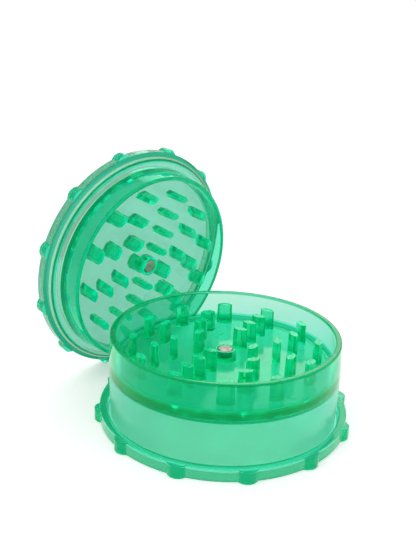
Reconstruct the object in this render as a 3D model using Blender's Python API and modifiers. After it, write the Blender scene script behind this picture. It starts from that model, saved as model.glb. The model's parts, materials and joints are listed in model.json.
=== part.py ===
"""A clear two-part hand grinder for herbs and spices, with its lid off and leaning beside it.

The body is a cup with a toothed floor over a storage space, closed below by a knobbed cap.
The lid is a shallower toothed cup with a knobbed cap of its own behind the teeth. A small disc
magnet sits in a boss at the middle of each toothed floor. Metres, +Z up, origin on the floor
at the middle of the body.
"""

import math

import bmesh
import bpy
from mathutils import Matrix, Vector

MM = 0.001
ROUND_STEPS = 72
KNOB_STEPS = 16
ARC_STEPS = 2

# Body: driving sizes in millimetres.
BODY_RADIUS = 30.0
BODY_DRAFT = 0.3
RIM_HEIGHT = 23.5
CUP_WALL = 1.62
CUP_FLOOR = 15.84
BODY_PLATE = 2.1
STORAGE_WALL = 1.6
BODY_TOOTH_TOP = 21.45
BODY_BOSS_TOP = 18.72

# Bottom cap.
CAP_RADIUS = 32.5
CAP_HEIGHT = 3.42
CAP_FLOOR = 1.5
CAP_KNOB_REACH = 33.9
CAP_KNOB_START = 10.3

# Lid, measured along its own axis from the outer face of its cap.
LID_CAP_RADIUS = 31.9
LID_CAP_HEIGHT = 2.94
LID_CAP_FLOOR = 1.3
LID_KNOB_REACH = 33.1
LID_KNOB_START = 13.9
FLANGE_RADIUS = 30.7
SHOULDER_RADIUS = 29.25
SHOULDER_LEVEL = 4.5
LID_PLATE = 1.8
LID_FLOOR = 5.7
SKIRT_RADIUS = 27.8
SKIRT_TAPER = 0.55
SKIRT_WALL = 1.1
LID_RIM = 10.98
LID_BOSS_TOP = 8.52

# Shared details.
GAP = 0.3
KNOB_COUNT = 12
KNOB_RADIUS = 2.7
BOSS_RADIUS = 2.78
MAGNET_RADIUS = 1.9
MAGNET_THICKNESS = 2.0
TOOTH_LENGTH = 4.5
TOOTH_WIDTH = 2.1
TOOTH_TOP_SCALE = 0.9
TOOTH_ROOT = 0.4
RING_PITCH = 5.325

# Rings of teeth: how many pitches out, how many teeth, and the bearing of the first in degrees.
BODY_RINGS = ((1.5, 4, 60.0), (2.5, 6, 0.0), (3.5, 8, 15.0), (4.5, 12, 0.0))
LID_RINGS = ((1.0, 4, 67.0), (2.0, 6, 68.0), (3.0, 9, 31.0), (4.0, 12, 8.0))

# Where the lid stands: middle of its cap's outer face, bearing of its axis, and its forward lean.
LID_CENTRE = Vector((-27.78, 31.77, 32.3))
LID_BEARING = -44.6
LID_LEAN = 6.6
HOVER_HEIGHT = 45.0

BODY_GREEN = (0.0, 0.62, 0.30, 1.0)
CAP_GREEN = (0.0, 0.56, 0.25, 1.0)
LID_GREEN = (0.0, 0.60, 0.32, 1.0)
STEEL_GREY = (0.58, 0.56, 0.54, 1.0)


def clear_scene():
    """Empties the scene, so that only this object's pieces are in it."""
    for item in list(bpy.data.objects):
        bpy.data.objects.remove(item)


def new_collection(name, for_cutters):
    """Makes a collection for the pieces, or a hidden one for the shapes that cut them."""
    group = bpy.data.collections.new(name)
    group.hide_render = for_cutters
    bpy.context.scene.collection.children.link(group)
    return group


def plastic(name, colour):
    """Tinted see-through plastic."""
    material = bpy.data.materials.new(name)
    material.use_nodes = True
    shader = material.node_tree.nodes["Principled BSDF"]
    shader.inputs["Base Color"].default_value = colour
    shader.inputs["Roughness"].default_value = 0.06
    shader.inputs["IOR"].default_value = 1.49
    shader.inputs["Transmission Weight"].default_value = 1.0
    return material


def plated_steel(name, colour):
    """Bright plated metal for a magnet."""
    material = bpy.data.materials.new(name)
    material.use_nodes = True
    shader = material.node_tree.nodes["Principled BSDF"]
    shader.inputs["Base Color"].default_value = colour
    shader.inputs["Roughness"].default_value = 0.25
    shader.inputs["Metallic"].default_value = 1.0
    return material


def corner_arc(before, corner, after, radius):
    """Points of the arc of this radius that rounds one corner of an outline."""
    to_before = (before - corner).normalized()
    to_after = (after - corner).normalized()
    half = to_before.angle(to_after) / 2
    reach = radius / math.tan(half)
    middle = corner + (to_before + to_after).normalized() * radius / math.sin(half)
    start = corner + to_before * reach - middle
    end = corner + to_after * reach - middle
    points = []
    for step in range(ARC_STEPS + 1):
        share = step / ARC_STEPS
        points.append(middle + start.slerp(end, share) * radius)
    return points


def rounded(corners):
    """An outline in (radius, height) from corners that each give radius, height and rounding."""
    places = [Vector(corner[:2]) for corner in corners]
    points = [places[0]]
    for index in range(1, len(corners) - 1):
        rounding = corners[index][2]
        if rounding > 0:
            points += corner_arc(places[index - 1], places[index], places[index + 1], rounding)
        else:
            points.append(places[index])
    points.append(places[-1])
    return points


def outward(mesh):
    """Turns every face of a closed mesh to look outward."""
    work = bmesh.new()
    work.from_mesh(mesh)
    bmesh.ops.recalc_face_normals(work, faces=work.faces)
    work.to_mesh(mesh)
    work.free()


def apply_modifiers(item):
    """Gives an object the mesh that its modifiers make, and takes the modifiers off."""
    bpy.context.view_layer.update()
    graph = bpy.context.evaluated_depsgraph_get()
    made = bpy.data.meshes.new_from_object(item.evaluated_get(graph))
    item.modifiers.clear()
    item.data = made


def turned(name, corners, steps, group):
    """A round solid: an outline that starts and ends on the axis, carried once round it."""
    outline = rounded(corners)
    mesh = bpy.data.meshes.new(name)
    places = [(point.x * MM, 0.0, point.y * MM) for point in outline]
    edges = [(index, index + 1) for index in range(len(places) - 1)]
    mesh.from_pydata(places, edges, [])
    item = bpy.data.objects.new(name, mesh)
    group.objects.link(item)
    screw = item.modifiers.new("turn", "SCREW")
    screw.axis = "Z"
    screw.angle = 2 * math.pi
    screw.steps = steps
    screw.render_steps = steps
    screw.use_merge_vertices = True
    screw.merge_threshold = 0.00001
    apply_modifiers(item)
    outward(item.data)
    return item


def combine(item, other, operation):
    """Joins another solid to this one, or cuts it away, and drops the other."""
    change = item.modifiers.new("combine", "BOOLEAN")
    change.operation = operation
    change.solver = "EXACT"
    change.object = other
    apply_modifiers(item)
    bpy.data.objects.remove(other)


def merged(name, items, group):
    """One object that holds the meshes of several, each where it stands."""
    work = bmesh.new()
    for item in items:
        piece = item.data.copy()
        piece.transform(item.matrix_basis)
        work.from_mesh(piece)
        bpy.data.objects.remove(item)
    mesh = bpy.data.meshes.new(name)
    work.to_mesh(mesh)
    work.free()
    whole = bpy.data.objects.new(name, mesh)
    group.objects.link(whole)
    return whole


def around(degrees, radius, height):
    """The place and turn of a piece at a bearing and a radius, with its X along the tangent."""
    turn = Matrix.Rotation(math.radians(degrees), 4, "Z")
    shift = Matrix.Translation((radius * MM, 0.0, height * MM))
    return turn @ shift @ Matrix.Rotation(math.pi / 2, 4, "Z")


def tooth(root, top, group):
    """One tooth: a tapered six-sided post, long along the tangent, with pointed ends."""
    height = (top - root) * MM
    work = bmesh.new()
    bmesh.ops.create_cone(
        work,
        cap_ends=True,
        segments=6,
        radius1=TOOTH_LENGTH / 2 * MM,
        radius2=TOOTH_LENGTH / 2 * TOOTH_TOP_SCALE * MM,
        depth=height,
    )
    across_flats = TOOTH_LENGTH * math.cos(math.pi / 6)
    turn = Matrix.Rotation(math.pi / 6, 4, "Z")
    pointed = [vert for vert in work.verts if abs(vert.co.y) < 1e-7]
    if not pointed:
        bmesh.ops.transform(work, matrix=turn, verts=work.verts)
    squeeze = Matrix.Diagonal((1.0, TOOTH_WIDTH / across_flats, 1.0, 1.0))
    bmesh.ops.transform(work, matrix=squeeze, verts=work.verts)
    bmesh.ops.translate(work, vec=(0.0, 0.0, height / 2), verts=work.verts)
    mesh = bpy.data.meshes.new("tooth")
    work.to_mesh(mesh)
    work.free()
    item = bpy.data.objects.new("tooth", mesh)
    group.objects.link(item)
    return item


def rings_of_teeth(rings, floor, top, group):
    """Every tooth of one toothed floor, each rooted a little way into the floor."""
    teeth = []
    root = floor - TOOTH_ROOT
    for pitches, count, first in rings:
        for index in range(count):
            item = tooth(root, top, group)
            bearing = first + 360.0 * index / count
            item.matrix_basis = around(bearing, pitches * RING_PITCH, root)
            teeth.append(item)
    return merged("teeth", teeth, group)


def knobs(reach, height, start, group):
    """The round lugs on the edge of a cap, each as tall as the cap's wall."""
    corners = (
        (0.0, 0.0, 0.0),
        (KNOB_RADIUS, 0.0, 0.45),
        (KNOB_RADIUS, height, 0.2),
        (0.0, height, 0.0),
    )
    lugs = []
    for index in range(KNOB_COUNT):
        item = turned("knob", corners, KNOB_STEPS, group)
        bearing = start + 360.0 * index / KNOB_COUNT
        item.matrix_basis = around(bearing, reach - KNOB_RADIUS, 0.0)
        lugs.append(item)
    return merged("knobs", lugs, group)


def knobbed_cap(name, radius, height, floor, bore, reach, start, group, cutters):
    """A shallow round cap with knobs: its outside, with the space inside its wall cut away."""
    outside = (
        (0.0, 0.0, 0.0),
        (radius, 0.0, 0.6),
        (radius, height, 0.25),
        (0.0, height, 0.0),
    )
    inside = (
        (0.0, floor, 0.0),
        (bore, floor, 0.3),
        (bore, height - 0.45, 0.0),
        (bore + 0.6, height + 0.15, 0.0),
        (0.0, height + 0.15, 0.0),
    )
    cap = turned(name, outside, ROUND_STEPS, group)
    combine(cap, knobs(reach, height - 0.12, start, cutters), "UNION")
    combine(cap, turned("cap_space", inside, ROUND_STEPS, cutters), "DIFFERENCE")
    return cap


def build_bottom_cap(group, cutters):
    """The cap that the grinder stands on."""
    bore = BODY_RADIUS + 0.35
    sizes = (CAP_RADIUS, CAP_HEIGHT, CAP_FLOOR, bore, CAP_KNOB_REACH, CAP_KNOB_START)
    return knobbed_cap("bottom_cap", *sizes, group, cutters)


def build_body(group, cutters):
    """The toothed cup with the storage wall below its floor."""
    rim_outside = BODY_RADIUS - BODY_DRAFT
    rim_inside = rim_outside - CUP_WALL + 0.06
    underside = CUP_FLOOR - BODY_PLATE
    storage_inside = BODY_RADIUS - STORAGE_WALL
    foot = CAP_FLOOR + GAP
    pocket = BODY_BOSS_TOP - MAGNET_THICKNESS - GAP
    corners = (
        (0.0, underside, 0.0),
        (storage_inside - 0.05, underside, 0.8),
        (storage_inside, foot, 0.3),
        (BODY_RADIUS - BODY_DRAFT, foot, 0.35),
        (BODY_RADIUS, underside, 0.0),
        (BODY_RADIUS, CUP_FLOOR, 0.0),
        (rim_outside, RIM_HEIGHT, 0.35),
        (rim_inside, RIM_HEIGHT, 0.35),
        (rim_inside - 0.12, CUP_FLOOR, 0.5),
        (BOSS_RADIUS + 0.05, CUP_FLOOR, 0.3),
        (BOSS_RADIUS, BODY_BOSS_TOP, 0.15),
        (MAGNET_RADIUS + GAP, BODY_BOSS_TOP, 0.0),
        (MAGNET_RADIUS + GAP, pocket, 0.0),
        (0.0, pocket, 0.0),
    )
    body = turned("grinder_body", corners, ROUND_STEPS, group)
    teeth = rings_of_teeth(BODY_RINGS, CUP_FLOOR, BODY_TOOTH_TOP, cutters)
    combine(body, teeth, "UNION")
    return body


def build_magnet(name, top, group):
    """A disc magnet whose upper face is level with the top of its boss."""
    corners = (
        (0.0, top - MAGNET_THICKNESS, 0.0),
        (MAGNET_RADIUS, top - MAGNET_THICKNESS, 0.2),
        (MAGNET_RADIUS, top, 0.25),
        (0.0, top, 0.0),
    )
    return turned(name, corners, 32, group)


def build_lid_cup(group, cutters):
    """The lid's toothed cup: skirt, shoulder, flange, and the short wall inside its cap."""
    cap_seat = LID_CAP_HEIGHT + GAP
    underside = LID_FLOOR - LID_PLATE
    foot = LID_CAP_FLOOR + GAP
    plug = LID_CAP_RADIUS - 2.3 - GAP
    skirt_end = SKIRT_RADIUS - SKIRT_TAPER
    pocket = LID_BOSS_TOP - MAGNET_THICKNESS - GAP
    corners = (
        (0.0, underside, 0.0),
        (plug - 1.6, underside, 0.5),
        (plug - 1.55, foot, 0.25),
        (plug, foot, 0.25),
        (plug, cap_seat, 0.0),
        (FLANGE_RADIUS, cap_seat, 0.15),
        (FLANGE_RADIUS, cap_seat + 0.35, 0.25),
        (SHOULDER_RADIUS, SHOULDER_LEVEL, 0.3),
        (SKIRT_RADIUS, SHOULDER_LEVEL, 0.12),
        (skirt_end, LID_RIM, 0.3),
        (skirt_end - SKIRT_WALL, LID_RIM, 0.3),
        (skirt_end - SKIRT_WALL - 0.2, LID_FLOOR, 0.5),
        (BOSS_RADIUS + 0.05, LID_FLOOR, 0.3),
        (BOSS_RADIUS, LID_BOSS_TOP, 0.15),
        (MAGNET_RADIUS + GAP, LID_BOSS_TOP, 0.0),
        (MAGNET_RADIUS + GAP, pocket, 0.0),
        (0.0, pocket, 0.0),
    )
    cup = turned("lid_cup", corners, ROUND_STEPS, group)
    teeth = rings_of_teeth(LID_RINGS, LID_FLOOR, LID_RIM, cutters)
    combine(cup, teeth, "UNION")
    return cup


def build_top_cap(group, cutters):
    """The lid's own knobbed cap."""
    bore = LID_CAP_RADIUS - 2.3
    sizes = (LID_CAP_RADIUS, LID_CAP_HEIGHT, LID_CAP_FLOOR, bore, LID_KNOB_REACH, LID_KNOB_START)
    return knobbed_cap("top_cap", *sizes, group, cutters)


def lid_axes():
    """Unit directions of the lid at rest: sideways, up its face, and out of its open side."""
    bearing = math.radians(LID_BEARING)
    lean = math.radians(LID_LEAN)
    level = Vector((math.cos(bearing), math.sin(bearing), 0.0))
    out = level * math.cos(lean) - Vector((0.0, 0.0, math.sin(lean)))
    side = Vector((-math.sin(bearing), math.cos(bearing), 0.0))
    return side, out.cross(side), out


def lid_frame():
    """The lid's own frame at rest, with its axis as Z and its cap's outer face at zero."""
    side, up, out = lid_axes()
    turn = Matrix((side, up, out)).transposed().to_4x4()
    return Matrix.Translation(LID_CENTRE * MM) @ turn


def swing_turn(axis, out):
    """How far the lid turns about the swing axis to face straight down, in radians."""
    down = Vector((0.0, 0.0, -1.0))
    start = out - axis * out.dot(axis)
    end = down - axis * down.dot(axis)
    return math.atan2(axis.dot(start.cross(end)), start.dot(end))


def swing_axis():
    """The single axis that carries the leaning lid to face down over the body's middle."""
    side, up, out = lid_axes()
    down = Vector((0.0, 0.0, -1.0))
    move = Vector((0.0, 0.0, HOVER_HEIGHT)) - LID_CENTRE
    between = (out + down).normalized()
    slant = math.atan2(-move.dot(side), move.dot(between))
    axis = side * math.cos(slant) + between * math.sin(slant)
    if swing_turn(axis, out) < 0:
        axis = -axis
    turn = swing_turn(axis, out)
    middle = LID_CENTRE + move / 2
    point = middle + axis.cross(move) / 2 / math.tan(turn / 2)
    return axis, point, turn


def main():
    clear_scene()
    group = new_collection("hand_grinder", False)
    cutters = new_collection("cutting_shapes", True)

    bottom_cap = build_bottom_cap(group, cutters)
    body = build_body(group, cutters)
    body_magnet = build_magnet("body_magnet", BODY_BOSS_TOP, group)
    lid_cup = build_lid_cup(group, cutters)
    lid_magnet = build_magnet("lid_magnet", LID_BOSS_TOP, group)
    top_cap = build_top_cap(group, cutters)

    frame = lid_frame()
    lid_cup.matrix_world = frame
    top_cap.matrix_world = frame
    pivot = Matrix.Translation(swing_axis()[1] * MM)
    lid_magnet.data.transform(pivot.inverted() @ frame)
    lid_magnet.matrix_world = pivot

    colours = {
        bottom_cap: plastic("bottom_cap_plastic", CAP_GREEN),
        body: plastic("grinder_body_plastic", BODY_GREEN),
        lid_cup: plastic("lid_cup_plastic", LID_GREEN),
        top_cap: plastic("top_cap_plastic", CAP_GREEN),
        body_magnet: plated_steel("body_magnet_steel", STEEL_GREY),
        lid_magnet: plated_steel("lid_magnet_steel", STEEL_GREY),
    }
    for item, material in colours.items():
        item.data.materials.clear()
        item.data.materials.append(material)
        item.data.shade_smooth()
        item.data.set_sharp_from_angle(angle=math.radians(28))


main()
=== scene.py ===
"""Looks of a clear green hand grinder for herbs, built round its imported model.

A toothed cup stands on a knobbed cap, and its toothed lid stands on edge beside it. Every shell
is one closed surface, so that light bends and loses its red inside it as it does in acrylic.
"""

import json
import math

import bmesh
import bpy
import numpy as np
from mathutils import Matrix, Vector


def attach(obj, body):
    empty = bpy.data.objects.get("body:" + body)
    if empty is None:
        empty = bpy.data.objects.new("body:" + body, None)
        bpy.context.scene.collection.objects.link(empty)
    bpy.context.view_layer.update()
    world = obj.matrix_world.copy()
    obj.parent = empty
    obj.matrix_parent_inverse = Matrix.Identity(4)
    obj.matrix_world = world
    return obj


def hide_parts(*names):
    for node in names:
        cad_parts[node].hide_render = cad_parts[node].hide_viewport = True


bl_info = {
    "name": "Clear herb grinder",
    "version": (1, 0, 0),
    "blender": (4, 5, 0),
    "location": "3D View > Sidebar > Grinder",
    "description": "Builds the shells, teeth, magnets and stage of a clear herb grinder",
    "category": "Add Mesh",
}

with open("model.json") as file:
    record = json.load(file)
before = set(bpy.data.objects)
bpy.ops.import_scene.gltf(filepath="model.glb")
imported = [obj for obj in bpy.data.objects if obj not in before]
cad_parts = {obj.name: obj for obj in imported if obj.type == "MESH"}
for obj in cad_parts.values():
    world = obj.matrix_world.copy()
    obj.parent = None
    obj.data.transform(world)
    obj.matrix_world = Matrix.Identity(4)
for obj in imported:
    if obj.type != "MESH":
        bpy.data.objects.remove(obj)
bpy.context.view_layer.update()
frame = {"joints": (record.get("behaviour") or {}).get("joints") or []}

MM = 0.001
LEAST_ROUNDING = 0.03 * MM
ARC_STEPS = 7
TURN_STEPS = 288

# Rings of teeth: ring pitches out from the middle, number of teeth, bearing of the first.
BODY_RINGS = ((1.5, 4, 60.0), (2.5, 6, 0.0), (3.5, 8, 15.0), (4.5, 12, 0.0))
LID_RINGS = ((1.0, 4, 67.0), (2.0, 6, 68.0), (3.0, 9, 31.0), (4.0, 12, 8.0))

# Moulding marks where ejector pins pushed on the toothed floors: bearing and distance out in mm.
BODY_MARKS = ((20.2, 21.7), (252.0, 25.0), (308.5, 24.9), (142.0, 21.6), (95.0, 16.1))
LID_MARKS = ((228.4, 23.2), (282.4, 11.8), (212.8, 10.3), (78.7, 16.3), (160.0, 22.4))
MARK_RADIUS = 1.1 * MM
MARK_RISE = 0.12 * MM
MARK_DEPTH = 0.25 * MM

# Knobs on a cap, and the bearings about each knob's middle where the wall's outline has points:
# close together over the knob, and wider apart along the wall to the next one, in radians.
KNOB_COUNT = 12
KNOB_STEPS = np.concatenate([np.linspace(-0.11, 0.11, 45), np.linspace(0.13, 0.39, 11)])
KNOB_HALF_WIDTH = 0.105

TOOTH_CORNER = 0.04 * MM
TOOTH_EDGE = 0.07 * MM
TOOTH_SUNK = 0.4 * MM

# Edges and faces thinner than this are taken off a joined shell.
SLIVER = 0.001 * MM

# Angles, in degrees, above which an edge stays crisp.
CAP_CREASE = 22
SHELL_CREASE = 16
MAGNET_CREASE = 60

# The axis of the pieces that stand upright: a point on it, and its direction.
UPRIGHT = (Vector((0.0, 0.0, 0.0)), Vector((0.0, 0.0, 1.0)))

# How frosted each piece is: a level along its axis, a radius, and the roughness below the level,
# above it inside the radius, and above it outside the radius.
BODY_ZONES = (13.7 * MM, 27.5 * MM, 0.3, 0.1, 0.05)
LID_ZONES = (4.4 * MM, 25.7 * MM, 0.1, 0.06, 0.05)
CAP_ZONES = (1.6 * MM, 29.0 * MM, 0.1, 0.1, 0.04)

# Bands of painted shade and painted highlight. Where light would run a long way in the acrylic,
# or be bent away at an edge, the tint is darkened to paint that shade. Where the acrylic is thin
# or mirrors the room, the tint is paled and a painted glow is added as a highlight: from and to
# along the axis, from and to out from it, in mm, then the painted tint and the painted glow.
BODY_PAINTED_BANDS = (
    (16.15, 23.1, 27.0, 31.0, (0.95, 0.6, 0.56), (0.0, 0.09, 0.04)),
    (16.15, 22.0, -1.0, 26.5, (0.4, 0.76, 0.52), (0.0, 0.05, 0.024)),
    (16.15, 17.5, -1.0, 26.5, (0.08, 0.6, 0.34), (0.0, 0.03, 0.015)),
    (15.6, 16.15, -1.0, 27.9, (0.12, 0.56, 0.32), (0.0, 0.055, 0.024)),
    (16.15, 16.7, 26.5, 31.0, (0.1, 0.6, 0.36), (0.0, 0.06, 0.03)),
    (13.7, 16.15, 29.3, 31.0, (0.015, 0.34, 0.15), (0.0, 0.035, 0.013)),
    (13.3, 14.2, 27.0, 28.7, (0.1, 0.5, 0.3), (0.0, 0.035, 0.015)),
    (22.95, 24.0, 27.0, 31.0, (0.06, 0.38, 0.2), (0.0, 0.045, 0.02)),
)
# Painted shade and painted highlights on the lid: the first is a painted reflection on its toothed
# floor, the last three are painted pale and dark lines at its flange and shoulder.
LID_PAINTED_BANDS = (
    (5.3, 6.0, -1.0, 26.1, (1.0, 0.55, 0.5), (0.08, 0.045, 0.06)),
    (6.0, 10.6, 26.55, 28.4, (0.5, 0.7, 0.54), (0.0, 0.05, 0.03)),
    (6.0, 10.6, 25.6, 26.55, (0.2, 0.62, 0.4), (0.0, 0.04, 0.02)),
    (6.0, 11.2, -1.0, 25.4, (0.12, 0.68, 0.4), (0.0, 0.07, 0.032)),
    (6.0, 7.3, -1.0, 25.4, (0.08, 0.5, 0.26), (0.0, 0.04, 0.016)),
    (4.55, 5.9, 26.9, 28.4, (0.1, 0.5, 0.2), (0.0, 0.03, 0.012)),
    (10.5, 11.3, 25.8, 28.4, (0.06, 0.38, 0.2), (0.0, 0.045, 0.02)),
    (3.2, 3.85, 29.9, 31.5, (0.9, 0.6, 0.52), (0.15, 0.14, 0.13)),
    (4.2, 4.7, 27.95, 29.4, (0.9, 0.55, 0.5), (0.18, 0.09, 0.11)),
    (3.85, 4.2, 29.3, 30.4, (0.03, 0.2, 0.1), (0.0, 0.015, 0.008)),
)
# Painted shade and painted highlights on the lid's cap, with painted dark lines at its edges.
LID_CAP_PAINTED_BANDS = (
    (-1.0, 6.0, 29.4, 32.4, (0.8, 0.5, 0.43), (0.085, 0.1, 0.09)),
    (2.65, 3.2, 29.3, 32.4, (0.04, 0.25, 0.14), (0.0, 0.015, 0.008)),
    (-1.0, 0.3, 29.9, 35.0, (0.1, 0.45, 0.28), (0.0, 0.03, 0.015)),
    (-1.0, 6.0, 32.1, 35.0, (0.2, 0.66, 0.45), (0.0, 0.05, 0.03)),
)
# Painted shade and painted highlights on the bottom cap.
CAP_PAINTED_BANDS = (
    (-1.0, 0.3, 30.5, 35.0, (0.1, 0.45, 0.28), (0.0, 0.03, 0.015)),
    (-1.0, 6.0, 32.6, 35.0, (0.2, 0.66, 0.45), (0.0, 0.05, 0.03)),
    (3.2, 3.6, 30.0, 32.3, (0.12, 0.6, 0.34), (0.0, 0.05, 0.02)),
    (0.5, 3.0, 32.3, 32.65, (0.9, 0.9, 0.8), (0.03, 0.07, 0.05)),
)

# How much light goes through a surface instead of scattering off it, how much the acrylic bends
# it, and the painted green tint given to everything it mirrors.
BODY_CLARITY = 1.0
CAP_CLARITY = 0.96
BENDING = 1.38
PAINTED_REFLECTION_TINT = (0.15, 1.0, 0.62)

# Softness of the step between two zones, and of a band's edges.
ZONE_LEVEL_SOFT = 0.0003
ZONE_RADIUS_SOFT = 0.0004
BAND_SOFT = 0.08 * MM

# Dust specks for each metre of a piece.
BODY_SPECKS = 190.0
CAP_SPECKS = 210.0

# The stage: the table's radius, thickness and top, its own light and the room's, and the panels.
# Each panel is a name, a place, a width in metres, a power in watts and a colour.
TABLE_RADIUS = 60.0
TABLE_FOOT = -0.004
TABLE_TOP = -0.00002
TABLE_EDGE = 0.0005
TABLE_LIGHT = 0.34
ROOM_LIGHT = 0.74
STAGE_MIDDLE = (-0.012, 0.012, 0.02)
PANELS = (
    ("key_panel", (-0.35, -0.25, 0.55), 0.35, 0.8, (1.0, 0.99, 0.97)),
    ("fill_panel", (0.5, -0.35, 0.35), 0.3, 0.4, (0.97, 0.99, 1.0)),
    ("back_panel", (0.1, 0.6, 0.45), 0.4, 0.8, (1.0, 1.0, 1.0)),
)
CLEAR_BOUNCES = 28
GLOSSY_BOUNCES = 8

# The camera: focal length and film width in mm, height of its line of sight, roll and place.
LENS = 52.24
FILM_WIDTH = 36.0
LOOK_DOWN = 19.824
ROLL = 2.109
CAMERA_PLACE = (-0.005172, -0.18928, 0.106695)


# ---------------------------------------------------------------------------------------------
# Sizes and colours a user would change
# ---------------------------------------------------------------------------------------------


def length(name, description, default_mm):
    """A length property given in millimetres and stored in metres."""
    return bpy.props.FloatProperty(
        name=name,
        description=description,
        default=default_mm * MM,
        min=0.0,
        unit="LENGTH",
        subtype="DISTANCE",
        precision=5,
    )


def colour(name, description, default):
    """A colour property without alpha."""
    return bpy.props.FloatVectorProperty(
        name=name,
        description=description,
        default=default,
        min=0.0,
        max=1.0,
        size=3,
        subtype="COLOR",
    )


class GrinderSizes(bpy.types.PropertyGroup):
    """Driving sizes of the shells, teeth and magnets."""

    body_radius: length("Body radius", "Outside of the storage wall at the toothed floor", 30.0)
    body_draft: length("Body draft", "How much the outside narrows towards the rim", 0.3)
    rim_height: length("Rim height", "Top of the cup's wall above the table", 23.5)
    cup_wall: length("Cup wall", "Thickness of the cup's wall at the rim", 1.56)
    cup_floor: length("Cup floor", "Height of the toothed floor above the table", 15.84)
    body_plate: length("Body plate", "Thickness of the body's toothed floor", 2.1)
    storage_wall: length("Storage wall", "Thickness of the wall round the storage space", 1.6)
    body_foot: length("Body foot", "Height of the storage wall's lower edge", 1.8)
    body_tooth_top: length("Body tooth top", "Height of the body's teeth", 21.45)
    body_boss_top: length("Body boss top", "Height of the boss that holds the magnet", 18.72)
    cap_radius: length("Cap radius", "Outside of the bottom cap between its knobs", 32.5)
    cap_height: length("Cap height", "Height of the bottom cap", 3.42)
    cap_floor: length("Cap floor", "Thickness of the bottom cap's floor", 1.5)
    cap_bore: length("Cap bore", "Inside of the bottom cap's wall", 30.35)
    cap_knob_reach: length("Cap knob reach", "How far out the bottom cap's knobs reach", 33.85)
    lid_cap_radius: length("Lid cap radius", "Outside of the lid's cap between its knobs", 31.9)
    lid_cap_height: length("Lid cap height", "Height of the lid's cap", 2.94)
    lid_cap_floor: length("Lid cap floor", "Thickness of the lid cap's floor", 1.3)
    lid_cap_bore: length("Lid cap bore", "Inside of the lid cap's wall", 29.6)
    lid_knob_reach: length("Lid knob reach", "How far out the lid cap's knobs reach", 32.97)
    knob_radius: length("Knob radius", "Radius of the round front of a knob", 2.7)
    knob_blend: length("Knob blend", "Softness of the corner between a knob and its cap", 0.12)
    flange_radius: length("Flange radius", "Outside of the lid's flange", 30.7)
    shoulder_radius: length("Shoulder radius", "Outside of the lid's seat", 29.25)
    shoulder_level: length("Shoulder level", "Lid's seat, from the outer face of its cap", 4.5)
    lid_plate: length("Lid plate", "Thickness of the lid's toothed floor", 1.8)
    lid_floor: length("Lid floor", "Lid's toothed floor, from the outer face of its cap", 5.7)
    skirt_radius: length("Skirt radius", "Outside of the lid's skirt at its seat", 27.8)
    skirt_taper: length("Skirt taper", "How much the skirt narrows towards its rim", 0.55)
    skirt_wall: length("Skirt wall", "Thickness of the lid's skirt", 1.1)
    lid_rim: length("Lid rim", "Rim of the lid's skirt, from the outer face of its cap", 10.98)
    lid_boss_top: length("Lid boss top", "Top of the lid's boss, from its cap", 8.52)
    boss_radius: length("Boss radius", "Radius of the boss round a magnet", 2.78)
    magnet_radius: length("Magnet radius", "Radius of a disc magnet", 1.9)
    magnet_height: length("Magnet height", "Thickness of a disc magnet", 2.0)
    seat_gap: length("Seat gap", "Gap between a piece and its seat", 0.3)
    tooth_length: length("Tooth length", "Tooth from point to point, along the ring", 4.5)
    tooth_width: length("Tooth width", "Tooth from flat to flat, across the ring", 2.1)
    ring_pitch: length("Ring pitch", "Unit of distance between rings of teeth", 5.325)
    tooth_taper: bpy.props.FloatProperty(
        name="Tooth taper",
        description="Size of a tooth's top as a share of its root",
        default=0.9,
        min=0.1,
        max=1.0,
        subtype="FACTOR",
    )
    cap_knob_bearing: bpy.props.FloatProperty(
        name="Cap knob bearing",
        description="Bearing of the bottom cap's first knob",
        default=math.radians(10.3),
        subtype="ANGLE",
    )
    lid_knob_bearing: bpy.props.FloatProperty(
        name="Lid knob bearing",
        description="Bearing of the lid cap's first knob",
        default=math.radians(13.9),
        subtype="ANGLE",
    )


class GrinderColours(bpy.types.PropertyGroup):
    """Colours of the acrylic, the magnets and the stage."""

    body_tint: colour("Body tint", "What a wall of the body or lid lets by", (0.68, 0.82, 0.66))
    storage_tint: colour("Storage tint", "What the storage wall lets by", (1.0, 0.88, 0.77))
    body_depth: colour("Body depth", "What thick acrylic leaves of a colour", (0.04, 0.98, 0.933))
    body_strength: bpy.props.FloatProperty(
        name="Body strength",
        description="How quickly the body's acrylic takes up light, per metre",
        default=560.0,
        min=0.0,
    )
    # Painted glow: emission that stands in for light scattered inside the body's acrylic.
    body_painted_glow: colour("Body glow", "Light the dye scatters inside the body", (0.0, 0.035, 0.016))
    # Painted glow of the frosted storage wall, standing in for the light it scatters.
    storage_painted_glow: colour("Storage glow", "Light the frosted wall scatters", (0.045, 0.05, 0.04))
    cap_tint: colour("Cap tint", "What a wall of the bottom cap lets by", (0.80, 0.90, 0.80))
    lid_cap_tint: colour("Lid cap tint", "What a wall of the lid's cap lets by", (0.8, 0.72, 0.66))
    cap_depth: colour("Cap depth", "What a thick cap leaves of a colour", (0.03, 0.983, 0.92))
    cap_strength: bpy.props.FloatProperty(
        name="Cap strength",
        description="How quickly the caps' acrylic takes up light, per metre",
        default=360.0,
        min=0.0,
    )
    # Painted glow: emission that stands in for light scattered inside a cap's acrylic.
    cap_painted_glow: colour("Cap glow", "Light that the dye scatters inside a cap", (0.003, 0.05, 0.034))
    magnet_face: colour("Magnet face", "Nickel plating of the magnets", (0.52, 0.46, 0.42))
    magnet_worn: colour("Magnet worn", "Scuffed plating of the magnets", (0.38, 0.33, 0.29))
    speck: colour("Speck", "Dust caught on the acrylic", (0.03, 0.12, 0.07))
    table: colour("Table", "Pale table top", (0.93, 0.935, 0.93))


# ---------------------------------------------------------------------------------------------
# Outlines and surfaces
# ---------------------------------------------------------------------------------------------


def unit(rows):
    """Each row scaled to length one."""
    return rows / np.linalg.norm(rows, axis=-1, keepdims=True)


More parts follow.
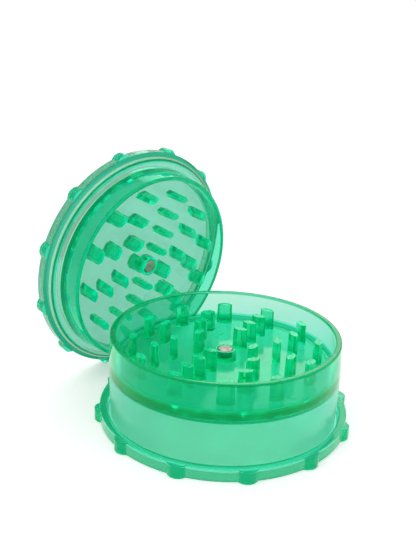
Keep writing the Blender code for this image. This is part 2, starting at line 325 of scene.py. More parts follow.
def rounded_outline(corners, steps=ARC_STEPS):
    """An outline with its corners rounded, and how far each of its points follows the knobs.

    Each corner is radius, height, rounding and knob share. Its arc has its middle on the line
    that halves the corner, at rounding / sin(half angle), and turns evenly from the tangent point
    on one side to the tangent point on the other. The two ends stay as they are.
    """
    table = np.array(corners, float)
    place = table[:, :2]
    back = unit(place[:-2] - place[1:-1])
    ahead = unit(place[2:] - place[1:-1])
    radius = np.maximum(table[1:-1, 2:3], LEAST_ROUNDING)
    half = np.arccos(np.clip((back * ahead).sum(1, keepdims=True), -1.0, 1.0)) / 2
    middle = place[1:-1] + unit(back + ahead) * radius / np.sin(half)
    start = place[1:-1] + back * radius / np.tan(half) - middle
    end = place[1:-1] + ahead * radius / np.tan(half) - middle
    sweep = (math.pi - 2 * half)[:, None]
    share = np.linspace(0.0, 1.0, steps + 1)[None, :, None]
    arc = start[:, None] * np.sin((1 - share) * sweep) + end[:, None] * np.sin(share * sweep)
    arc = middle[:, None] + arc / np.sin(sweep)
    points = np.concatenate([place[:1], arc.reshape(-1, 2), place[-1:]])
    follow = np.repeat(table[1:-1, 3], steps + 1)
    return points, np.concatenate([table[:1, 3], follow, table[-1:, 3]])


def grid_faces(columns, rows):
    """Quads of a grid whose columns close on themselves, one row of corners per face."""
    column, row = np.meshgrid(np.arange(columns), np.arange(rows - 1), indexing="ij")
    following = (column + 1) % columns
    corners = (
        column * rows + row,
        following * rows + row,
        following * rows + row + 1,
        column * rows + row + 1,
    )
    return np.stack(corners, -1).reshape(-1, 4)


def pole_faces(columns, rows, row, pole, turned_over):
    """Triangles from one row of a closed grid to the single point at its pole."""
    column = np.arange(columns)
    near = column * rows + row
    far = (column + 1) % columns * rows + row
    pair = (far, near) if turned_over else (near, far)
    return np.stack([pair[0], pair[1], np.full(columns, pole)], -1)


def closed_skin(name, grid, first_pole, last_pole):
    """A mesh from a grid of points, columns by rows, closed round and at both its poles.

    If the skin holds a negative volume, every face is turned over, so that faces look outward.
    """
    columns, rows = grid.shape[:2]
    points = np.concatenate([grid.reshape(-1, 3), [first_pole], [last_pole]])
    quads = grid_faces(columns, rows)
    count = columns * rows
    caps = np.concatenate(
        [
            pole_faces(columns, rows, 0, count, True),
            pole_faces(columns, rows, rows - 1, count + 1, False),
        ]
    )
    triangles = np.concatenate([quads[:, :3], quads[:, [0, 2, 3]], caps])
    if np.linalg.det(points[triangles]).sum() < 0:
        quads = quads[:, ::-1]
        caps = caps[:, ::-1]
    mesh = bpy.data.meshes.new(name)
    mesh.from_pydata(points.tolist(), [], quads.tolist() + caps.tolist())
    mesh.validate()
    return mesh


def carried_round(name, corners, bearings, push, steps=ARC_STEPS):
    """A round skin: an outline carried round the axis.

    At bearing a, a point of the outline stands at radius r + share * push(a), so the points with
    a share of one follow the knobs and the others stay round.
    """
    outline, share = rounded_outline(corners, steps)
    radius = outline[None, 1:-1, 0] + share[None, 1:-1] * push[:, None]
    turn = bearings[:, None]
    height = np.broadcast_to(outline[None, 1:-1, 1], radius.shape)
    grid = np.stack([radius * np.cos(turn), radius * np.sin(turn), height], -1)
    poles = ((0.0, 0.0, outline[0, 1]), (0.0, 0.0, outline[-1, 1]))
    return closed_skin(name, grid, *poles)


def even_bearings(steps=TURN_STEPS):
    """Bearings spread evenly round a circle, with no push outward."""
    bearings = np.linspace(0.0, 2 * math.pi, steps, endpoint=False)
    return bearings, np.zeros(steps)


def knob_bearings(sizes, base, reach, first):
    """Bearings packed closely at each knob, and how far the knobs push the wall out there.

    A knob's front is a circle whose middle is reach less its radius from the axis. Its distance
    from the axis at an offset d is m cos d + sqrt(rho^2 - (m sin d)^2). The wall takes the
    greater of that and its own radius r, through the smooth maximum
    (r + front + sqrt((front - r)^2 + soft^2)) / 2, so the corner is softened.
    """
    middles = first + np.arange(KNOB_COUNT)[:, None] * 2 * math.pi / KNOB_COUNT
    bearings = (middles + KNOB_STEPS[None, :]).ravel()
    offset = np.tile(KNOB_STEPS, KNOB_COUNT)
    middle = reach - sizes.knob_radius
    inside = np.maximum(sizes.knob_radius**2 - (middle * np.sin(offset)) ** 2, 0.0)
    front = middle * np.cos(offset) + np.sqrt(inside)
    soft = sizes.knob_blend
    above = front - base
    push = 0.5 * (above + np.sqrt(above**2 + soft**2)) - soft / 8
    fade = np.exp(-((offset / KNOB_HALF_WIDTH) ** 8))
    return bearings, np.maximum(push, 0.0) * fade * (reach - base) / push.max()


def tooth_outline(sizes, steps=3):
    """A six-sided outline, pointed along X, with slightly rounded corners, as a closed ring."""
    sides = np.arange(6) * math.pi / 3
    hexagon = np.stack([np.cos(sides), np.sin(sides)], -1) * sizes.tooth_length / 2
    hexagon[:, 1] *= sizes.tooth_width / (sizes.tooth_length * math.cos(math.pi / 6))
    looped = np.concatenate([hexagon[-1:], hexagon, hexagon[:1]])
    corners = np.column_stack([looped, np.full(8, TOOTH_CORNER), np.zeros(8)])
    return rounded_outline(corners, steps)[0][1:-1]


def tooth_points(sizes, root, top):
    """One tooth as a grid, its outline by its heights, and the points at its two ends.

    The outline shrinks evenly from the root to the tooth's top, and its upper edge is rounded:
    over the last stretch, both the height and the inset follow a quarter circle.
    """
    ring = tooth_outline(sizes)
    turn = np.linspace(0.0, math.pi / 2, 4)
    heights = np.concatenate([[root], top - TOOTH_EDGE + TOOTH_EDGE * np.sin(turn)])
    share = (heights - root) / (top - root)
    scale = 1.0 + (sizes.tooth_taper - 1.0) * share
    inset = np.concatenate([[0.0], TOOTH_EDGE * (1 - np.cos(turn))])
    reach = np.linalg.norm(ring, axis=1)
    shrink = scale[None, :] - inset[None, :] / reach[:, None]
    flat = ring[:, None, :] * shrink[..., None]
    tall = np.broadcast_to(heights[None, :, None], flat.shape[:2] + (1,))
    return np.concatenate([flat, tall], -1), (0.0, 0.0, root), (0.0, 0.0, top)


def tooth_skins(name, sizes, rings, floor, top):
    """All teeth of one floor as closed skins, each with its long side along its ring."""
    single = closed_skin(name, *tooth_points(sizes, floor - TOOTH_SUNK, top))
    bearings = []
    distances = []
    for pitches, count, first in rings:
        bearings.append(math.radians(first) + np.arange(count) * 2 * math.pi / count)
        distances.append(np.full(count, pitches * sizes.ring_pitch))
    return copies_round(name, single, np.concatenate(bearings), np.concatenate(distances))


def copies_round(name, single, bearings, distances):
    """Copies of a small mesh, each moved out along its bearing with its X along the tangent.

    The small mesh is used up.
    """
    pattern = np.zeros(len(single.vertices) * 3)
    single.vertices.foreach_get("co", pattern)
    pattern = pattern.reshape(-1, 3)
    faces = [tuple(face.vertices) for face in single.polygons]
    bpy.data.meshes.remove(single)
    out = np.stack([np.cos(bearings), np.sin(bearings)], -1)
    along = np.stack([-out[:, 1], out[:, 0]], -1)
    flat = (
        out[:, None] * distances[:, None, None]
        + along[:, None] * pattern[None, :, :1]
        - out[:, None] * pattern[None, :, 1:2]
    )
    tall = np.broadcast_to(pattern[None, :, 2:], flat.shape[:2] + (1,))
    points = np.concatenate([flat, tall], -1).reshape(-1, 3)
    starts = range(0, len(points), len(pattern))
    corners = [[index + start for index in face] for start in starts for face in faces]
    mesh = bpy.data.meshes.new(name)
    mesh.from_pydata(points.tolist(), [], corners)
    return mesh


def mark_skins(name, marks, floor):
    """Moulding marks: very low round pads that an ejector pin leaves on a toothed floor."""
    corners = (
        (0.0, floor - MARK_DEPTH, 0.0, 0.0),
        (MARK_RADIUS, floor - MARK_DEPTH, 0.0, 0.0),
        (MARK_RADIUS, floor + MARK_RISE, LEAST_ROUNDING, 0.0),
        (0.0, floor + MARK_RISE, 0.0, 0.0),
    )
    single = carried_round(name, corners, *even_bearings(28), steps=2)
    bearings = np.radians([mark[0] for mark in marks])
    distances = np.array([mark[1] for mark in marks]) * MM
    return copies_round(name, single, bearings, distances)


# ---------------------------------------------------------------------------------------------
# Objects
# ---------------------------------------------------------------------------------------------


def lid_frame():
    """The lid's own frame at rest, from the joint it turns on: its axis is Z, its cap is at 0."""
    spin = next(joint for joint in frame["joints"] if joint["name"] == "lid_spin")
    out = Vector(spin["axis"]).normalized()
    side = Vector((0.0, 0.0, 1.0)).cross(out).normalized()
    turn = Matrix((side, out.cross(side), out)).transposed().to_4x4()
    return Matrix.Translation(Vector(spin["pos_m"])) @ turn


def lid_axis():
    """A point on the lid's axis, on the outer face of its cap, and the direction of the axis."""
    place = lid_frame()
    return place.translation, place.col[2].xyz


def linked(name, mesh):
    """A new object for a mesh, in the scene, at the origin."""
    item = bpy.data.objects.new(name, mesh)
    bpy.context.scene.collection.objects.link(item)
    return item


def applied(item):
    """Gives an object the mesh that its modifiers make, and takes the modifiers off."""
    bpy.context.view_layer.update()
    graph = bpy.context.evaluated_depsgraph_get()
    made = bpy.data.meshes.new_from_object(item.evaluated_get(graph))
    item.modifiers.clear()
    item.data = made
    return item


def swept(item):
    """Clears the slivers that a join leaves, so that the shell stays one closed skin."""
    skin = bmesh.new()
    skin.from_mesh(item.data)
    bmesh.ops.dissolve_degenerate(skin, dist=SLIVER, edges=skin.edges[:])
    bmesh.ops.triangulate(skin, faces=[face for face in skin.faces if len(face.verts) > 4])
    skin.to_mesh(item.data)
    skin.free()
    return item


def joined_on(item, meshes):
    """Joins closed skins to a shell, so that no face is left inside the plastic."""
    for mesh in meshes:
        other = linked(mesh.name, mesh)
        join = item.modifiers.new("join", "BOOLEAN")
        join.operation = "UNION"
        join.solver = "EXACT"
        join.object = other
        applied(item)
        bpy.data.objects.remove(other)
    return swept(item)


def smooth_shell(item, sharp_degrees):
    """Smooth shading that keeps flat faces flat and keeps the crisp edges crisp."""
    item.data.shade_smooth()
    item.data.set_sharp_from_angle(angle=math.radians(sharp_degrees))
    weigh = item.modifiers.new("flat faces first", "WEIGHTED_NORMAL")
    weigh.mode = "FACE_AREA"
    weigh.weight = 90
    weigh.keep_sharp = True
    return applied(item)


def finished(item, material, body, node):
    """Dresses a piece, makes it ride on its body, and has it stand for its CAD node."""
    if not len(item.data.polygons):
        raise RuntimeError(f"{item.name} came out empty")
    item.data.materials.clear()
    item.data.materials.append(material)
    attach(item, body)
    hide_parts(node)
    return item


# ---------------------------------------------------------------------------------------------
# Materials
# ---------------------------------------------------------------------------------------------


class Value:
    """A number that varies over a surface: arithmetic on it adds Math nodes."""

    def __init__(self, nodes, socket):
        self.nodes = nodes
        self.socket = socket

    def combined(self, operation, first, second):
        return self.nodes.add("ShaderNodeMath", {"operation": operation}, [first, second])

    def __add__(self, other):
        return self.combined("ADD", self, other)

    def __radd__(self, other):
        return self.combined("ADD", other, self)

    def __sub__(self, other):
        return self.combined("SUBTRACT", self, other)

    def __rsub__(self, other):
        return self.combined("SUBTRACT", other, self)

    def __mul__(self, other):
        return self.combined("MULTIPLY", self, other)

    def __rmul__(self, other):
        return self.combined("MULTIPLY", other, self)

    def __truediv__(self, other):
        return self.combined("DIVIDE", self, other)

    def __pow__(self, other):
        return self.combined("POWER", self, other)


class Finish:
    """A material under construction: its shader, and the nodes that feed it."""

    def __init__(self, name):
        self.material = bpy.data.materials.new(name)
        self.material.use_nodes = True
        self.tree = self.material.node_tree
        self.shader = self.tree.nodes["Principled BSDF"]
        self.output = self.tree.nodes["Material Output"]

    def add(self, kind, settings, inputs, output=0):
        """Any node: its settings first, then its sockets' values or links, by place or by name."""
        node = self.tree.nodes.new(kind)
        for key, value in settings.items():
            setattr(node, key, value)
        pairs = inputs.items() if isinstance(inputs, dict) else enumerate(inputs)
        for key, value in pairs:
            self.feed(node.inputs[key], value)
        return Value(self, node.outputs[output])

    def feed(self, socket, value):
        """Links a varying value to a socket, or sets the socket to a constant."""
        if isinstance(value, Value):
            self.tree.links.new(value.socket, socket)
        else:
            socket.default_value = value

    def set(self, **inputs):
        """Sets or links the shader's own sockets, with underscores for spaces."""
        for key, value in inputs.items():
            self.feed(self.shader.inputs[key.replace("_", " ")], value)

    def place(self):
        """The point on the piece, in metres."""
        return self.add("ShaderNodeTexCoord", {}, {}, "Object")

    def noise(self, where, scale, detail=2.0, roughness=0.5):
        """Soft random variation between 0 and 1."""
        inputs = {"Vector": where, "Scale": scale, "Detail": detail, "Roughness": roughness}
        return self.add("ShaderNodeTexNoise", {}, inputs, "Fac")

    def stretched(self, where, turn, scale):
        """The point, turned and stretched, for marks that run in one direction."""
        inputs = {"Vector": where, "Rotation": turn, "Scale": scale}
        return self.add("ShaderNodeMapping", {}, inputs, "Vector")

    def ramp(self, value, low, high):
        """0 below low, 1 above high, and a smooth step between."""
        settings = {"interpolation_type": "SMOOTHSTEP"}
        inputs = {"Value": value, "From Min": low, "From Max": high}
        return self.add("ShaderNodeMapRange", settings, inputs, "Result")

    def within(self, value, low, high):
        """1 between low and high, 0 beyond them."""
        past_low = self.ramp(value, low - BAND_SOFT, low + BAND_SOFT)
        past_high = self.ramp(value, high - BAND_SOFT, high + BAND_SOFT)
        return past_low * (1.0 - past_high)

    def mixed(self, factor, first, second):
        """Two colours mixed."""
        settings = {"data_type": "RGBA", "blend_type": "MIX"}
        return self.add("ShaderNodeMix", settings, {"Factor": factor, 6: first, 7: second}, 2)

    def vector(self, operation, first, second, output="Vector"):
        """Arithmetic on points and directions."""
        inputs = [first] if second is None else [first, second]
        return self.add("ShaderNodeVectorMath", {"operation": operation}, inputs, output)

    def bump(self, height, strength, distance):
        """Small relief that bends the surface's normal."""
        inputs = {"Height": height, "Strength": strength, "Distance": distance}
        return self.add("ShaderNodeBump", {}, inputs, "Normal")


def opaque(shade):
    """A colour with full alpha."""
    return (shade[0], shade[1], shade[2], 1.0)


def dimmed(shade, share):
    """A colour made darker."""
    return (shade[0] * share, shade[1] * share, shade[2] * share, 1.0)


def clear_acrylic(name, recipe, axis_point, axis, zones, speck_scale):
    """Moulded green acrylic: polished walls, frosted floors and teeth, scuffs, specks, ripples.

    The recipe gives the tint of a wall above and below the piece's level, what is left of each
    colour in thick plastic, how quickly, the painted glow that stands in for light scattered
    inside the acrylic, each band of painted shade and painted highlight, and how much light goes
    through.
    The distance along the piece's axis and the distance from it tell its zones apart. Each zone is
    a
    level, a radius and three roughnesses: below the level, above it inside the radius, and above
    it outside the radius.
    """
    finish = Finish(name)
    where = finish.place()
    level, radius, low_haze, inner_haze, outer_haze = zones
    out = finish.vector("SUBTRACT", where, tuple(axis_point))
    along = finish.vector("DOT_PRODUCT", out, tuple(axis), "Value")
    span = finish.vector("LENGTH", out, None, "Value")
    aside = (span * span - along * along) ** 0.5
    above = finish.ramp(along, level - ZONE_LEVEL_SOFT, level + ZONE_LEVEL_SOFT)
    outside = finish.ramp(aside, radius - ZONE_RADIUS_SOFT, radius + ZONE_RADIUS_SOFT)
    haze = low_haze + above * (inner_haze - low_haze + outside * (outer_haze - inner_haze))
    cloud = finish.noise(where, 140.0, 3.0)
    ripple = finish.noise(where, 260.0, 2.0)
    scuff_along = finish.stretched(where, (0.3, 0.2, 0.8), (1.0, 14.0, 3.0))
    scuff_across = finish.stretched(where, (0.1, 0.5, 2.3), (1.0, 18.0, 3.0))
    along_grain = finish.noise(scuff_along, 900.0, 2.0, 0.6)
    scuffs = along_grain * finish.noise(scuff_across, 800.0, 2.0, 0.6)
    worn = finish.ramp(scuffs, 0.34, 0.46) * finish.ramp(cloud, 0.35, 0.7)
    cells = {"Vector": where, "Scale": speck_scale, "Randomness": 1.0}
    nearest = finish.add("ShaderNodeTexVoronoi", {"feature": "F1"}, cells, "Distance")
    chosen = finish.ramp(finish.noise(where, speck_scale * 0.45, 1.0), 0.6, 0.64)
    specks = (1.0 - finish.ramp(nearest, 0.045, 0.075)) * chosen
    tint = finish.mixed(above, opaque(recipe["low_tint"]), opaque(recipe["tint"]))
    deeper = finish.mixed(above, dimmed(recipe["low_tint"], 0.95), dimmed(recipe["tint"], 0.95))
    base = finish.mixed(finish.ramp(cloud, 0.3, 0.75), tint, deeper)
    # Painted glow: emission that stands in for light scattered inside the acrylic.
    glow = finish.mixed(above, opaque(recipe["low_painted_glow"]), opaque(recipe["glow"]))
    # Painted shade and painted highlights: each band swaps in a darker tint where shade would
    # fall, or a paler tint with more painted glow as a highlight.
    for low, high, inner, outer, painted_band_tint, painted_band_glow in recipe["painted_bands"]:
        painted_band_mask = finish.within(along, low * MM, high * MM)
        painted_band_mask = painted_band_mask * finish.within(aside, inner * MM, outer * MM)
        base = finish.mixed(painted_band_mask, base, opaque(painted_band_tint))
        glow = finish.mixed(painted_band_mask, glow, opaque(painted_band_glow))
    finish.set(
        Base_Color=finish.mixed(specks, base, opaque(recipe["speck"])),
        Roughness=haze + worn * 0.12 + finish.ramp(cloud, 0.4, 0.8) * 0.03,
        Normal=finish.bump(ripple * 0.8 + worn * 0.2, 0.12, 0.00006),
        IOR=recipe["bending"],
        Transmission_Weight=recipe["clarity"],
        # Painted reflection tint: the green laid on everything the surface mirrors.
        Specular_Tint=opaque(PAINTED_REFLECTION_TINT),
        Emission_Color=glow,
        Emission_Strength=1.0,
    )
    depth = {"Color": opaque(recipe["depth"]), "Density": recipe["strength"]}
    inside = finish.add("ShaderNodeVolumeAbsorption", {}, depth, "Volume")
    finish.feed(finish.output.inputs["Volume"], inside)
    return finish.material


def body_recipe(colours):
    """The body's acrylic, with its frosted storage wall."""
    return {
        "tint": colours.body_tint,
        "low_tint": colours.storage_tint,
        "depth": colours.body_depth,
        "strength": colours.body_strength,
        # Painted glow, above and below the level.
        "glow": colours.body_painted_glow,
        "low_painted_glow": colours.storage_painted_glow,
        # Painted shade and painted highlights.
        "painted_bands": BODY_PAINTED_BANDS,
        "speck": colours.speck,
        "clarity": BODY_CLARITY,
        "bending": BENDING,
    }


def lid_cap_recipe(colours):
    """The lid cap's acrylic: the other cap's, with a greyer tint."""
    tints = {"tint": colours.lid_cap_tint, "low_tint": colours.lid_cap_tint}
    # The lid cap's own painted shade and painted highlights.
    return {**cap_recipe(colours), **tints, "painted_bands": LID_CAP_PAINTED_BANDS}


def lid_recipe(colours):
    """The lid's acrylic: the body's, with one tint all over."""
    return {
        **body_recipe(colours),
        "low_tint": colours.body_tint,
        # The same painted glow all over, and the lid's own painted shade and painted highlights.
        "low_painted_glow": colours.body_painted_glow,
        "painted_bands": LID_PAINTED_BANDS,
    }


def cap_recipe(colours):
    """The two caps' paler acrylic."""
    return {
        **body_recipe(colours),
        "tint": colours.cap_tint,
        "low_tint": colours.cap_tint,
        "depth": colours.cap_depth,
        "strength": colours.cap_strength,
        # Painted glow of the caps.
        "glow": colours.cap_painted_glow,
        "low_painted_glow": colours.cap_painted_glow,
        "painted_bands": CAP_PAINTED_BANDS,
        "clarity": CAP_CLARITY,
    }


def nickel_plating(name, colours):
    """Nickel-plated magnet: fine turning lines, dull worn patches and small pits."""
    finish = Finish(name)
    where = finish.place()
    grain = finish.noise(finish.stretched(where, (0.0, 0.0, 0.6), (1.0, 12.0, 1.0)), 2600.0, 3.0)
    patches = finish.noise(where, 900.0, 3.0)
    pits = finish.ramp(finish.noise(where, 5200.0, 2.0), 0.62, 0.74)
    worn = finish.ramp(patches, 0.42, 0.68)
    base = finish.mixed(worn, opaque(colours.magnet_face), opaque(colours.magnet_worn))
    finish.set(
        Base_Color=base,
        Roughness=0.34 + worn * 0.2 + grain * 0.12,
        Normal=finish.bump(grain * 0.5 + pits * -0.5, 0.25, 0.00002),
        Metallic=1.0,
    )
    return finish.material


def table_top(name, colours):
    """Pale matt table with the faintest unevenness."""
    finish = Finish(name)
    where = finish.place()
    cloud = finish.noise(where, 6.0, 3.0)
    fine = finish.noise(where, 900.0, 2.0)
    finish.set(
        Base_Color=finish.mixed(cloud, opaque(colours.table), dimmed(colours.table, 0.985)),
        Roughness=0.62 + fine * 0.1,
        Normal=finish.bump(fine, 0.05, 0.00005),
        Specular_IOR_Level=0.25,
        Emission_Color=(1.0, 1.0, 1.0, 1.0),
        Emission_Strength=TABLE_LIGHT,
    )
    return finish.material


# ---------------------------------------------------------------------------------------------
# Operators, one for each piece or group of like pieces
# ---------------------------------------------------------------------------------------------


def knobbed_cap(name, sizes, radius, height, floor, bore, reach, first):
    """A knobbed cap's skin: floor, wall with knobs, and the space inside its wall."""
    corners = (
        (0.0, 0.0, 0.0, 0.0),
        (radius, 0.0, 0.3 * MM, 1.0),
        (radius, height, 0.16 * MM, 1.0),
        (bore + 0.5 * MM, height, 0.12 * MM, 0.0),
        (bore, height - 0.5 * MM, 0.2 * MM, 0.0),
        (bore, floor, 0.35 * MM, 0.0),
        (0.0, floor, 0.0, 0.0),
    )
    bearings, push = knob_bearings(sizes, radius, reach, first)
    return carried_round(name, corners, bearings, push)


class GRINDER_OT_bottom_cap(bpy.types.Operator):
    """Make the knobbed cap that the grinder stands on"""

    bl_idname = "mesh.grinder_bottom_cap"
    bl_label = "Bottom cap"

    def execute(self, context):
        sizes = context.scene.grinder_sizes
        mesh = knobbed_cap(
            "bottom_cap_shell",
            sizes,
            sizes.cap_radius,
            sizes.cap_height,
            sizes.cap_floor,
            sizes.cap_bore,
            sizes.cap_knob_reach,
            sizes.cap_knob_bearing,
        )
        item = smooth_shell(linked("bottom_cap_shell", mesh), CAP_CREASE)
        recipe = cap_recipe(context.scene.grinder_colours)
        plastic = clear_acrylic("cap_acrylic", recipe, *UPRIGHT, CAP_ZONES, CAP_SPECKS)
        finished(item, plastic, "bottom_cap", "bottom_cap")
        return {"FINISHED"}


class GRINDER_OT_body(bpy.types.Operator):
    """Make the toothed cup with the storage wall below its floor"""

    bl_idname = "mesh.grinder_body"
    bl_label = "Body"

    def execute(self, context):
        sizes = context.scene.grinder_sizes
        rim_outside = sizes.body_radius - sizes.body_draft
        rim_inside = rim_outside - sizes.cup_wall
        underside = sizes.cup_floor - sizes.body_plate
        storage_inside = sizes.body_radius - sizes.storage_wall
        pocket = sizes.body_boss_top - sizes.magnet_height - sizes.seat_gap
        socket = sizes.magnet_radius + sizes.seat_gap
        corners = (
            (0.0, underside, 0.0, 0.0),
            (storage_inside - 0.05 * MM, underside, 0.8 * MM, 0.0),
            (storage_inside, sizes.body_foot, 0.4 * MM, 0.0),
            (rim_outside, sizes.body_foot, 0.5 * MM, 0.0),
            (sizes.body_radius, underside, 0.3 * MM, 0.0),
            (sizes.body_radius, sizes.cup_floor, 0.3 * MM, 0.0),
            (rim_outside, sizes.rim_height, 0.45 * MM, 0.0),
            (rim_inside, sizes.rim_height, 0.45 * MM, 0.0),
            (rim_inside - 0.12 * MM, sizes.cup_floor, 0.5 * MM, 0.0),
            (sizes.boss_radius + 0.05 * MM, sizes.cup_floor, 0.3 * MM, 0.0),
            (sizes.boss_radius, sizes.body_boss_top, 0.2 * MM, 0.0),
            (socket, sizes.body_boss_top, 0.12 * MM, 0.0),
            (socket, pocket, 0.1 * MM, 0.0),
            (0.0, pocket, 0.0, 0.0),
        )
        shell = linked("body_shell", carried_round("body_shell", corners, *even_bearings()))
        top = sizes.body_tooth_top
        teeth = tooth_skins("body_teeth", sizes, BODY_RINGS, sizes.cup_floor, top)
        joined_on(shell, [teeth, mark_skins("body_marks", BODY_MARKS, sizes.cup_floor)])
        smooth_shell(shell, SHELL_CREASE)
        recipe = body_recipe(context.scene.grinder_colours)
        plastic = clear_acrylic("body_acrylic", recipe, *UPRIGHT, BODY_ZONES, BODY_SPECKS)
        finished(shell, plastic, "grinder_body", "grinder_body")
        return {"FINISHED"}


class GRINDER_OT_lid(bpy.types.Operator):
    """Make the lid's toothed cup with its flange, shoulder and skirt"""

    bl_idname = "mesh.grinder_lid"
    bl_label = "Lid"

    def execute(self, context):
        sizes = context.scene.grinder_sizes
        cap_seat = sizes.lid_cap_height + sizes.seat_gap
        underside = sizes.lid_floor - sizes.lid_plate
        foot = sizes.lid_cap_floor + sizes.seat_gap
        plug = sizes.lid_cap_bore - sizes.seat_gap
        skirt_end = sizes.skirt_radius - sizes.skirt_taper
        inside = skirt_end - sizes.skirt_wall
        pocket = sizes.lid_boss_top - sizes.magnet_height - sizes.seat_gap
        socket = sizes.magnet_radius + sizes.seat_gap
        corners = (
            (0.0, underside, 0.0, 0.0),
            (plug - 1.6 * MM, underside, 0.5 * MM, 0.0),
            (plug - 1.55 * MM, foot, 0.3 * MM, 0.0),
            (plug, foot, 0.3 * MM, 0.0),
            (plug, cap_seat, 0.12 * MM, 0.0),
            (sizes.flange_radius, cap_seat, 0.16 * MM, 0.0),
            (sizes.flange_radius, cap_seat + 0.35 * MM, 0.25 * MM, 0.0),
            (sizes.shoulder_radius, sizes.shoulder_level, 0.3 * MM, 0.0),
            (sizes.skirt_radius, sizes.shoulder_level, 0.12 * MM, 0.0),
            (skirt_end, sizes.lid_rim, 0.4 * MM, 0.0),
            (inside, sizes.lid_rim, 0.4 * MM, 0.0),
            (inside - 0.2 * MM, sizes.lid_floor, 0.5 * MM, 0.0),
            (sizes.boss_radius + 0.05 * MM, sizes.lid_floor, 0.3 * MM, 0.0),
            (sizes.boss_radius, sizes.lid_boss_top, 0.2 * MM, 0.0),
            (socket, sizes.lid_boss_top, 0.12 * MM, 0.0),
            (socket, pocket, 0.1 * MM, 0.0),
            (0.0, pocket, 0.0, 0.0),
        )
        shell = linked("lid_shell", carried_round("lid_shell", corners, *even_bearings()))
        top = sizes.lid_rim - 0.02 * MM
        teeth = tooth_skins("lid_teeth", sizes, LID_RINGS, sizes.lid_floor, top)
        joined_on(shell, [teeth, mark_skins("lid_marks", LID_MARKS, sizes.lid_floor)])
        smooth_shell(shell, SHELL_CREASE)
        shell.data.transform(lid_frame())
        recipe = lid_recipe(context.scene.grinder_colours)
        plastic = clear_acrylic("lid_acrylic", recipe, *lid_axis(), LID_ZONES, BODY_SPECKS)
        finished(shell, plastic, "lid_cup", "lid_cup")
        return {"FINISHED"}


class GRINDER_OT_top_cap(bpy.types.Operator):
    """Make the knobbed cap on the back of the lid"""

    bl_idname = "mesh.grinder_top_cap"
    bl_label = "Lid cap"

    def execute(self, context):
        sizes = context.scene.grinder_sizes
        mesh = knobbed_cap(
            "top_cap_shell",
            sizes,
            sizes.lid_cap_radius,
            sizes.lid_cap_height,
            sizes.lid_cap_floor,
            sizes.lid_cap_bore,
            sizes.lid_knob_reach,
            sizes.lid_knob_bearing,
        )
        item = smooth_shell(linked("top_cap_shell", mesh), CAP_CREASE)
        item.data.transform(lid_frame())
        recipe = lid_cap_recipe(context.scene.grinder_colours)
        plastic = clear_acrylic("lid_cap_acrylic", recipe, *lid_axis(), CAP_ZONES, CAP_SPECKS)
        finished(item, plastic, "top_cap", "top_cap")
        return {"FINISHED"}


class GRINDER_OT_magnets(bpy.types.Operator):
    """Make the two disc magnets, one in each boss"""

    bl_idname = "mesh.grinder_magnets"
    bl_label = "Magnets"

    def execute(self, context):
        sizes = context.scene.grinder_sizes
        plating = nickel_plating("nickel_plating", context.scene.grinder_colours)
        places = (
            ("body_magnet", "grinder_body", sizes.body_boss_top, Matrix.Identity(4)),
            ("lid_magnet", "lid_magnet", sizes.lid_boss_top, lid_frame()),
        )
        for node, body, top, where in places:
            low = top - sizes.magnet_height
            corners = (
                (0.0, low, 0.0, 0.0),
                (sizes.magnet_radius, low, 0.2 * MM, 0.0),
                (sizes.magnet_radius, top, 0.25 * MM, 0.0),
                (0.0, top, 0.0, 0.0),
            )
            mesh = carried_round(node + "_disc", corners, *even_bearings(96))
            item = smooth_shell(linked(node + "_disc", mesh), MAGNET_CREASE)
            item.data.transform(where)
            finished(item, plating, body, node)
        return {"FINISHED"}


def soft_light(name, place, size, power, shade):
    """A square studio panel that looks at the middle of the stage."""
    lamp = bpy.data.lights.new(name, "AREA")
    lamp.shape = "SQUARE"
    lamp.size = size
    lamp.energy = power
    lamp.color = shade
    item = bpy.data.objects.new(name, lamp)
    item.location = place
    sight = Vector(STAGE_MIDDLE) - Vector(place)
    item.rotation_euler = sight.to_track_quat("-Z", "Y").to_euler()
    bpy.context.scene.collection.objects.link(item)


def studio_camera():
    """The camera in front of the body, a little to its left and above, tilted down and rolled."""
    lens = bpy.data.cameras.new("studio_camera")
    lens.lens = LENS
    lens.sensor_width = FILM_WIDTH
    lens.clip_start = 0.01
    lens.clip_end = 200.0
    camera = bpy.data.objects.new("studio_camera", lens)
    tilt = Matrix.Rotation(math.radians(90.0 - LOOK_DOWN), 4, "X")
    roll = Matrix.Rotation(math.radians(ROLL), 4, "Z")
    camera.matrix_world = Matrix.Translation(CAMERA_PLACE) @ tilt @ roll
    bpy.context.scene.collection.objects.link(camera)
    bpy.context.scene.camera = camera


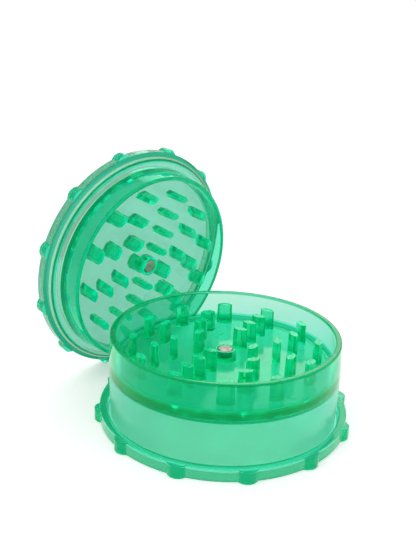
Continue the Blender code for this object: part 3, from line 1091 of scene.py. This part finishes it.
class GRINDER_OT_stage(bpy.types.Operator):
    """Lay the pale table, and set up the soft lights and the camera"""

    bl_idname = "scene.grinder_stage"
    bl_label = "Stage"

    def execute(self, context):
        scene = context.scene
        corners = (
            (0.0, TABLE_FOOT, 0.0, 0.0),
            (TABLE_RADIUS, TABLE_FOOT, TABLE_EDGE, 0.0),
            (TABLE_RADIUS, TABLE_TOP, TABLE_EDGE, 0.0),
            (0.0, TABLE_TOP, 0.0, 0.0),
        )
        table = linked("table", carried_round("table", corners, *even_bearings(96), steps=2))
        table.data.materials.append(table_top("pale_table", scene.grinder_colours))
        world = bpy.data.worlds.new("studio")
        world.use_nodes = True
        scene.world = world
        sky = world.node_tree.nodes["Background"]
        sky.inputs["Color"].default_value = (1.0, 1.0, 1.0, 1.0)
        sky.inputs["Strength"].default_value = ROOM_LIGHT
        for panel in PANELS:
            soft_light(*panel)
        scene.view_settings.view_transform = "Standard"
        scene.cycles.max_bounces = CLEAR_BOUNCES
        scene.cycles.transmission_bounces = CLEAR_BOUNCES
        scene.cycles.glossy_bounces = GLOSSY_BOUNCES
        scene.cycles.volume_bounces = 0
        studio_camera()
        return {"FINISHED"}


class GRINDER_PT_panel(bpy.types.Panel):
    """Lists the grinder's operators, sizes and colours"""

    bl_label = "Clear herb grinder"
    bl_idname = "GRINDER_PT_panel"
    bl_space_type = "VIEW_3D"
    bl_region_type = "UI"
    bl_category = "Grinder"

    def draw(self, context):
        for maker in MAKERS:
            self.layout.operator(maker.bl_idname)
        for group in (context.scene.grinder_sizes, context.scene.grinder_colours):
            column = self.layout.column()
            for key in group.__annotations__:
                column.prop(group, key)


MAKERS = (
    GRINDER_OT_stage,
    GRINDER_OT_bottom_cap,
    GRINDER_OT_body,
    GRINDER_OT_lid,
    GRINDER_OT_top_cap,
    GRINDER_OT_magnets,
)
CLASSES = (GrinderSizes, GrinderColours, *MAKERS, GRINDER_PT_panel)


def register():
    """Registers the classes and hangs the sizes and colours on the scene."""
    for item in CLASSES:
        bpy.utils.register_class(item)
    bpy.types.Scene.grinder_sizes = bpy.props.PointerProperty(type=GrinderSizes)
    bpy.types.Scene.grinder_colours = bpy.props.PointerProperty(type=GrinderColours)


def unregister():
    """Takes back what register did."""
    del bpy.types.Scene.grinder_colours
    del bpy.types.Scene.grinder_sizes
    for item in reversed(CLASSES):
        bpy.utils.unregister_class(item)


def main():
    """Makes every piece."""
    register()
    bpy.ops.scene.grinder_stage()
    bpy.ops.mesh.grinder_bottom_cap()
    bpy.ops.mesh.grinder_body()
    bpy.ops.mesh.grinder_lid()
    bpy.ops.mesh.grinder_top_cap()
    bpy.ops.mesh.grinder_magnets()


if __name__ == "__main__":
    main()
